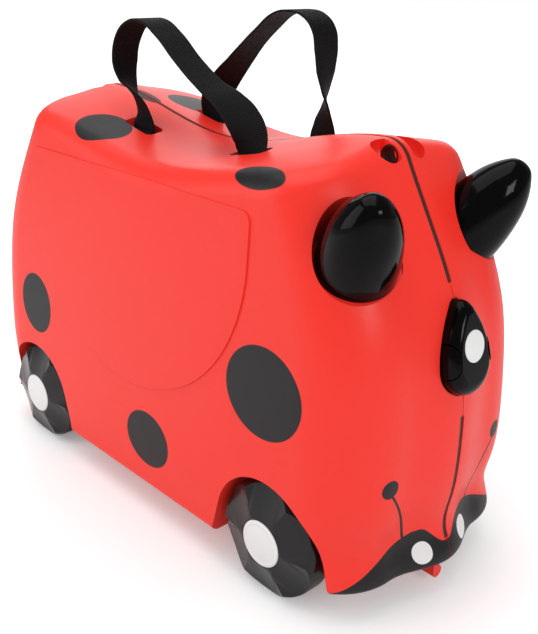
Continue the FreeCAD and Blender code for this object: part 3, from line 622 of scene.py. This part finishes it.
SPOTS = (
    Spot((17.2, 100.0, 67.4), (26.3, 45.0, 23.0)),
    Spot((141.8, 97.0, 154.8), (35.2, 45.0, 32.2)),
    Spot((-143.0, 98.0, 132.3), (23.4, 45.0, 26.8)),
    Spot((-78.4, 62.6, 289.0), (24.2, 21.0, 60.0), Half.RIGHT),
    Spot((119.0, 81.5, 290.5), (22.5, 9.0, 10.0)),
    Spot((-93.0, 42.5, 296.0), (25.4, 24.2, 60.0), Half.LEFT),
    Spot((-110.0, 0.0, 304.0), (21.0, 7.5, 40.0)),
)


@dataclass
class Case:
    """Half shells, seam seals and hinge pins."""

    dresser: Dresser
    seal: PlasticFinish = PlasticFinish("seal", (0.050, 0.022, 0.018, 1.0), 0.55, grain=0.00006)
    smooth_angle: float = 32.0

    def build(self, steel: bpy.types.Material) -> None:
        """Dress the case."""
        shell = ShellFinish(SPOTS).material()
        for node in ("right_shell", "left_shell"):
            self.dresser.skin(node, shell, Slot.SHELL, self.smooth_angle)
        seal = self.seal.material()
        for end in ("front", "rear"):
            for level in ("upper", "lower"):
                self.dresser.skin(f"{end}_{level}_seal", seal, Slot.SEAL, self.smooth_angle)
        self.dresser.coat("hinge_pins", steel)


@dataclass
class Wheels:
    """Four lobed wheels with white caps on headed axles."""

    dresser: Dresser
    cap_radius: float = 17.3 * MM
    cap_depth: float = 2.6 * MM
    rim: float = 2.0 * MM
    white: PlasticFinish = PlasticFinish("cap_white", (0.84, 0.84, 0.83, 1.0), 0.32, 0.0, 0.00002, 0.04)
    black: PlasticFinish = PlasticFinish("wheel_black", (0.006, 0.006, 0.0065, 1.0), 0.20, 0.12, gleam=0.32)

    def cap(self) -> bpy.types.Object:
        """Model one cap round the Y axis, looking along -Y, with its back on y = 0."""
        bpy.ops.mesh.primitive_cylinder_add(vertices=72, radius=self.cap_radius, depth=self.cap_depth,
                                            rotation=(math.pi / 2, 0.0, 0.0),
                                            location=(0.0, -self.cap_depth / 2, 0.0))
        cap = newest("cap_model")
        bpy.ops.object.transform_apply(location=True, rotation=True, scale=True)
        pick_faces(cap, (0.0, -1.0, 0.0))
        steps = ((0.4 * MM, -0.5 * MM), (self.rim, -0.7 * MM), (0.7 * MM, 0.45 * MM), (1.2 * MM, -0.25 * MM),
                 (3.2 * MM, -0.55 * MM), (3.6 * MM, -0.25 * MM), (2.6 * MM, -0.05 * MM))
        with editing(cap):
            for inset, lift in steps:
                bpy.ops.mesh.inset(thickness=inset)
                bpy.ops.transform.translate(value=(0.0, lift, 0.0))
        applied(cap, "BEVEL", width=0.00025, segments=2, limit_method="ANGLE", angle_limit=math.radians(25.0))
        smooth(cap, 40.0)
        return cap

    def build(self, steel: bpy.types.Material, black_trim: bpy.types.Material) -> None:
        """Dress the wheels."""
        white = self.white.material()
        black = self.black.material()
        model = self.cap()
        for side, sign in (("right", 1.0), ("left", -1.0)):
            self.dresser.coat(f"{side}_wheel_washers", black_trim)
            for end in ("front", "rear"):
                corner = f"{side}_{end}_"
                self.dresser.skin(corner + "wheel", black, Slot.WHEEL, 28.0)
                self.dresser.coat(corner + "axle", steel)
                low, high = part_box(corner + "hub_cap")
                middle = (low + high) / 2
                middle.y = high.y if sign > 0 else low.y
                place = Matrix.Translation(middle) @ Matrix.Diagonal((1.0, sign, 1.0, 1.0))
                cap = copied(model, corner + "cap", place)
                self.dresser.put(cap, [corner + "hub_cap"], white, Slot.WHITE)
        bpy.data.objects.remove(model)


@dataclass
class Grips:
    """Horn grips at the front corners and their screws."""

    dresser: Dresser

    def build(self, gloss: bpy.types.Material, steel: bpy.types.Material) -> None:
        """Dress the grips."""
        for side in ("right", "left"):
            self.dresser.skin(f"{side}_horn", gloss, Slot.BLACK, 40.0)
            self.dresser.coat(f"{side}_horn_screw", steel)


@dataclass
class Catches:
    """Front and rear catch: cover, squeeze buttons, lock disc and what is behind them."""

    dresser: Dresser
    white: PlasticFinish = PlasticFinish("disc_white", (0.82, 0.82, 0.81, 1.0), 0.30, 0.2, 0.00002, 0.04)

    def build(self, gloss: bpy.types.Material, trim: bpy.types.Material, steel: bpy.types.Material) -> None:
        """Dress both catches."""
        white = self.white.material()
        for end in ("front", "rear"):
            self.dresser.skin(f"{end}_catch_body", gloss, Slot.BLACK, 30.0)
            for side in ("right", "left"):
                self.dresser.skin(f"{end}_catch_{side}_button", gloss, Slot.BLACK, 30.0)
            self.dresser.skin(f"{end}_lock_disc", white, Slot.WHITE, 30.0)
            self.dresser.coat(f"{end}_lock_cam", trim)
            self.dresser.coat(f"{end}_catch_spring", steel)
            self.dresser.coat(f"{end}_catch_screws", steel)


# Ways of the straps from the bar under the first end: shares of the reach and of the rise, twist in degrees
NEAR_ROUTE = (
    (1.0, 0.035, 0.0), (1.0, 0.1, 12.0), (0.98, 0.2, 34.0), (0.87, 0.31, 54.0), (0.64, 0.43, 74.0),
    (0.28, 0.54, 87.0), (-0.1, 0.70, 90.0), (-0.45, 0.88, 90.0), (-0.77, 0.98, 90.0), (-1.06, 0.95, 90.0),
    (-1.27, 0.82, 90.0), (-1.36, 0.62, 86.0), (-1.31, 0.44, 66.0), (-1.17, 0.31, 38.0), (-1.04, 0.2, 14.0),
    (-1.0, 0.1, 0.0), (-1.0, 0.035, 0.0),
)
FAR_ROUTE = (
    (1.0, 0.035, 0.0), (1.0, 0.1, 8.0), (0.98, 0.21, 26.0), (0.89, 0.34, 46.0), (0.72, 0.47, 66.0),
    (0.48, 0.63, 80.0), (0.25, 0.78, 88.0), (0.0, 0.92, 90.0), (-0.3, 1.06, 90.0), (-0.55, 1.09, 90.0),
    (-0.79, 1.06, 90.0), (-0.95, 0.96, 90.0), (-1.0, 0.81, 88.0), (-1.01, 0.64, 78.0), (-1.02, 0.48, 58.0),
    (-1.03, 0.33, 34.0), (-1.02, 0.2, 12.0), (-1.01, 0.1, 0.0), (-1.0, 0.035, 0.0),
)


@dataclass
class Handle:
    """One webbing carry handle, sewn round its two bars."""

    dresser: Dresser
    side: str
    sign: float
    route: tuple[tuple[float, float, float], ...]
    width: float = 25.0 * MM
    thickness: float = 1.8 * MM
    reach: float = 62.0 * MM
    offset: float = 36.0 * MM
    bar_height: float = 283.5125 * MM
    rise: float = 88.0 * MM
    sleeve: float = 4.2 * MM
    bore: float = 2.35 * MM

    def line(self) -> bpy.types.Object:
        """Curve along the middle of the strap, with its twist."""
        bpy.ops.curve.primitive_bezier_curve_add()
        line = newest(f"{self.side}_handle_line")
        bpy.ops.object.transform_apply(location=True, rotation=True, scale=True)
        spline = line.data.splines[0]
        spline.bezier_points.add(len(self.route) - 2)
        for point, (along, up, turn) in zip(spline.bezier_points, self.route):
            point.co = (self.sign * self.reach * along, -self.sign * self.offset, self.bar_height + self.rise * up)
            point.handle_left_type = "AUTO"
            point.handle_right_type = "AUTO"
            point.tilt = math.radians(turn)
        line.data.twist_mode = "MINIMUM"
        line.data.resolution_u = 24
        return line

    def loop(self, end: float) -> bpy.types.Object:
        """Model the sewn loop round one bar.

        Args:
            end: 1 for the front bar, -1 for the rear one.
        Returns:
            The loop.
        """
        bpy.ops.mesh.primitive_cylinder_add(vertices=40, radius=self.sleeve, depth=self.width,
                                            rotation=(0.0, math.pi / 2, 0.0),
                                            location=(end * self.reach, -self.sign * self.offset, self.bar_height))
        loop = newest(f"{self.side}_loop")
        bpy.ops.object.transform_apply(location=True, rotation=True, scale=True)
        for corner in loop.data.uv_layers[0].data:
            corner.uv = (corner.uv[0] * math.tau * self.sleeve / MM, corner.uv[1] * self.width / MM)
        loop.data.uv_layers[0].name = "UVMap"
        with editing(loop):
            bpy.ops.mesh.select_mode(type="FACE")
            bpy.ops.mesh.select_all(action="DESELECT")
        for face in loop.data.polygons:
            face.select = abs(face.normal.x) > 0.9
        with editing(loop):
            bpy.ops.mesh.inset(thickness=self.sleeve - self.bore)
            bpy.ops.mesh.bridge_edge_loops()
        applied(loop, "BEVEL", width=0.0004, segments=2, limit_method="ANGLE", angle_limit=math.radians(50.0))
        smooth(loop, 40.0)
        return loop

    def build(self, webbing: bpy.types.Material) -> None:
        """Model the strap with its sewn loops and put it in place of the plain solid."""
        line = self.line()
        length = line.data.splines[0].calc_length()
        bpy.ops.mesh.primitive_grid_add(x_subdivisions=240, y_subdivisions=12, size=1.0, calc_uvs=True)
        strap = newest(f"{self.side}_handle_strap")
        with editing(strap):
            bpy.ops.mesh.select_all(action="SELECT")
            bpy.ops.transform.resize(value=(length, self.width, 1.0))
            bpy.ops.transform.translate(value=(length / 2, 0.0, 0.0))
        for loop in strap.data.uv_layers[0].data:
            loop.uv = (loop.uv[0] * length / MM, loop.uv[1] * self.width / MM)
        strap.data.uv_layers[0].name = "UVMap"
        applied(strap, "SOLIDIFY", thickness=self.thickness, offset=0.0)
        applied(strap, "BEVEL", width=0.0006, segments=2, limit_method="ANGLE", angle_limit=math.radians(50.0))
        applied(strap, "CURVE", object=line, deform_axis="POS_X")
        smooth(strap, 40.0)
        bpy.data.objects.remove(line)
        loops = [self.loop(end) for end in (1.0, -1.0)]
        only(strap)
        for loop in loops:
            loop.select_set(True)
        bpy.ops.object.join()
        self.dresser.put(strap, [f"{self.side}_handle"], webbing, Slot.WEBBING)


@dataclass
class PackStrap:
    """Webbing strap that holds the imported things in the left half."""

    dresser: Dresser

    def build(self, webbing: bpy.types.Material, trim: bpy.types.Material) -> None:
        """Model the strap over its CAD solid."""
        low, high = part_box("pack_strap")
        length = high.x - low.x
        width = high.z - low.z
        thick = high.y - low.y
        bpy.ops.mesh.primitive_grid_add(x_subdivisions=120, y_subdivisions=10, size=1.0, calc_uvs=True)
        strap = newest("packing_strap")
        for loop in strap.data.uv_layers[0].data:
            loop.uv = (loop.uv[0] * length / MM, loop.uv[1] * width / MM)
        strap.data.uv_layers[0].name = "UVMap"
        with editing(strap):
            bpy.ops.mesh.select_all(action="SELECT")
            bpy.ops.transform.resize(value=(length, width, 1.0))
            bpy.ops.transform.rotate(value=-math.pi / 2, orient_axis="X", center_override=(0.0, 0.0, 0.0))
            bpy.ops.transform.translate(value=tuple((low + high) / 2))
        applied(strap, "SOLIDIFY", thickness=thick, offset=0.0)
        applied(strap, "BEVEL", width=0.0005, segments=2, limit_method="ANGLE", angle_limit=math.radians(50.0))
        smooth(strap, 40.0)
        self.dresser.put(strap, ["pack_strap"], webbing, Slot.WEBBING)
        self.dresser.coat("pack_strap_anchors", trim)


@dataclass(frozen=True)
class Lamp:
    """A soft square light: its place, size in metres and power in watts."""

    name: str
    spot: Point
    size: float
    power: float


LAMPS = (
    Lamp("top_light", (-0.2, -0.2, 1.7), 1.5, 11.0),
    Lamp("left_light", (-0.9, -1.4, 0.8), 1.2, 8.0),
    Lamp("right_light", (1.6, -0.2, 0.9), 0.5, 6.5),
    Lamp("back_light", (-1.3, 1.3, 0.7), 2.0, 14.0),
)


@dataclass
class Studio:
    """White floor, soft lights and the camera of the photo's view."""

    eye: Point = (0.49895, -0.44071, 0.41387)
    azimuth: float = 45.73
    elevation: float = 22.51
    roll: float = 1.39
    lens: float = 49.12
    frame_height: float = 36.0
    white_from: float = 1100.0
    near_glow: float = 0.2
    far_glow: float = 0.7
    ambient: float = 0.6
    sheen: float = 0.2
    middle: Point = (0.0, 0.0, 0.15)

    def camera(self) -> None:
        """Set the camera."""
        around = math.radians(self.azimuth)
        above = math.radians(self.elevation)
        back = Vector((math.sin(around) * math.cos(above), -math.cos(around) * math.cos(above), math.sin(above)))
        right = Vector((0.0, 0.0, 1.0)).cross(back).normalized()
        up = back.cross(right)
        turn = Matrix((right, up, back)).transposed().to_4x4()
        data = bpy.data.cameras.new("camera")
        data.lens = self.lens
        data.sensor_fit = "VERTICAL"
        data.sensor_height = self.frame_height
        data.clip_start = 0.01
        camera = bpy.data.objects.new("camera", data)
        camera.matrix_world = (Matrix.Translation(self.eye) @ turn
                               @ Matrix.Rotation(math.radians(self.roll), 4, "Z"))
        bpy.context.scene.collection.objects.link(camera)
        bpy.context.scene.camera = camera

    def light(self, lamp: Lamp) -> None:
        """Set a lamp that looks at the middle of the case."""
        data = bpy.data.lights.new(lamp.name, "AREA")
        data.size = lamp.size
        data.energy = lamp.power
        obj = bpy.data.objects.new(lamp.name, data)
        aim = Vector(self.middle) - Vector(lamp.spot)
        obj.location = lamp.spot
        obj.visible_camera = False
        obj.rotation_euler = aim.to_track_quat("-Z", "Y").to_euler()
        bpy.context.scene.collection.objects.link(obj)

    def floor(self) -> None:
        """Pale floor that reads white to the camera and keeps the shadow."""
        bpy.ops.mesh.primitive_plane_add(size=14.0, location=(0.0, 0.0, -0.0002))
        floor = newest("floor")
        graph = Graph.material("floor")
        seen = graph.node("ShaderNodeLightPath", {}, {}, "Is Camera Ray")
        x, y, _ = graph.place()
        away = ((x * x + y * y).root() / self.white_from).eased()
        diffuse = graph.node("ShaderNodeBsdfDiffuse", {}, {"Color": (0.86, 0.86, 0.86, 1.0)})
        strength = seen * (self.near_glow + (self.far_glow - self.near_glow) * away)
        glow = graph.node("ShaderNodeEmission", {}, {"Color": (1.0, 1.0, 1.0, 1.0), "Strength": strength})
        both = graph.node("ShaderNodeAddShader", {}, {0: diffuse, 1: glow})
        graph.node("ShaderNodeOutputMaterial", {}, {"Surface": both})
        floor.data.materials.append(graph.owner)
        floor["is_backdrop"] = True

    def sky(self) -> None:
        """White surround, plain to the camera, softer as light and dim in reflections."""
        world = bpy.data.worlds.new("surround")
        bpy.context.scene.world = world
        graph = Graph(world)
        seen = graph.node("ShaderNodeLightPath", {}, {}, "Is Camera Ray")
        mirrored = graph.node("ShaderNodeLightPath", {}, {}, "Is Glossy Ray")
        strength = (1.0 - seen) * (self.ambient + (self.sheen - self.ambient) * mirrored) + seen
        plain = graph.node("ShaderNodeBackground", {}, {"Color": (1.0, 1.0, 1.0, 1.0), "Strength": strength})
        graph.node("ShaderNodeOutputWorld", {}, {"Surface": plain})

    def build(self) -> None:
        """Set up floor, surround, lights and camera."""
        self.floor()
        self.sky()
        for lamp in LAMPS:
            self.light(lamp)
        self.camera()
        bpy.context.scene.view_settings.view_transform = "Standard"


def report_size(after: Any) -> None:
    def plain(bounds: Any) -> list[list[float]]:
        return [[float(part) for part in corner] for corner in bounds]


def main() -> None:
    """Build everything in order."""
    logging.basicConfig(level=logging.INFO, format="%(name)s: %(message)s")
    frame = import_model()
    dresser = Dresser(frame)
    steel = SteelFinish().material()
    gloss = PlasticFinish("gloss_black", (0.002, 0.002, 0.0022, 1.0), 0.10, 0.02, gleam=0.11).material()
    trim = PlasticFinish("trim_black", (0.020, 0.020, 0.021, 1.0), 0.40).material()
    webbing = WebbingFinish().material()
    Case(dresser).build(steel)
    Wheels(dresser).build(steel, trim)
    Grips(dresser).build(gloss, steel)
    Catches(dresser).build(gloss, trim, steel)
    for side, sign, route in (("right", 1.0, NEAR_ROUTE), ("left", -1.0, FAR_ROUTE)):
        Handle(dresser, side, sign, route).build(webbing)
        dresser.coat(f"{side}_handle_bars", steel)
    PackStrap(dresser).build(webbing, trim)
    Studio().build()
    report_size(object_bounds())


if __name__ == "__main__":
    main()
